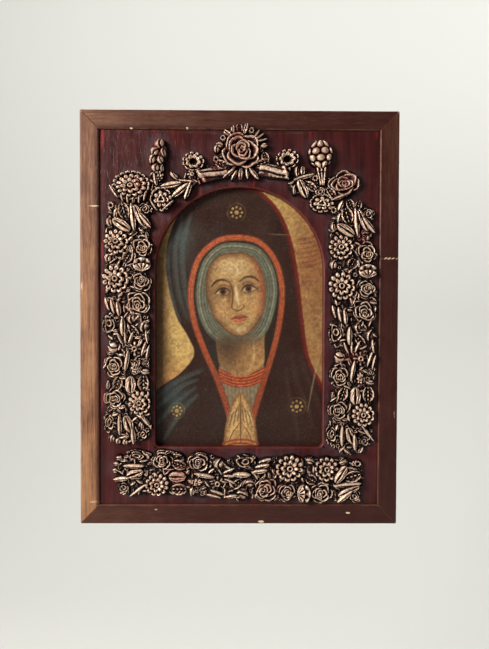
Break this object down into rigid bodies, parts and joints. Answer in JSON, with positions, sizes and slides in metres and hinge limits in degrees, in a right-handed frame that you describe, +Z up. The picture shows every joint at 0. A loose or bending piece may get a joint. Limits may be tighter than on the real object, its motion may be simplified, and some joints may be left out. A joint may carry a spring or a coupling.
{
  "type": "icon panel",
  "caption": "Hanging devotional icon panel: a box frame round a board with a round-headed window, a varnished picture set behind it and cast flower reliefs glued round it.",
  "frame": {"origin": "middle of the top rail's flat back face, where the panel bears on the wall and its nail", "axes": "+Z up the panel, +Y out of its back into the wall, +X to the right as seen from the front"},
  "size_m": [0.2, 0.038, 0.26],
  "materials": {
    "stained_rail": "brown stain rubbed with bronze, satin, worn along its edges",
    "mahogany_paint": "dark mahogany red, semi-gloss, dusty in places",
    "varnished_picture": "painted and gilt, cracked satin varnish",
    "bronzed_casting": "near-black wash with bronze brushed over the high parts",
    "plain_back": "bare board"
  },
  "bodies": {
    "root": {"rail_top": "stained_rail", "rail_right": "stained_rail", "rail_bottom": "stained_rail", "rail_left": "stained_rail", "panel_board": "mahogany_paint", "picture_panel": "varnished_picture", "back_board": "plain_back", "casting_left": "bronzed_casting", "casting_right": "bronzed_casting", "casting_bottom": "bronzed_casting", "casting_crest": "bronzed_casting"}
  },
  "joints": []
}
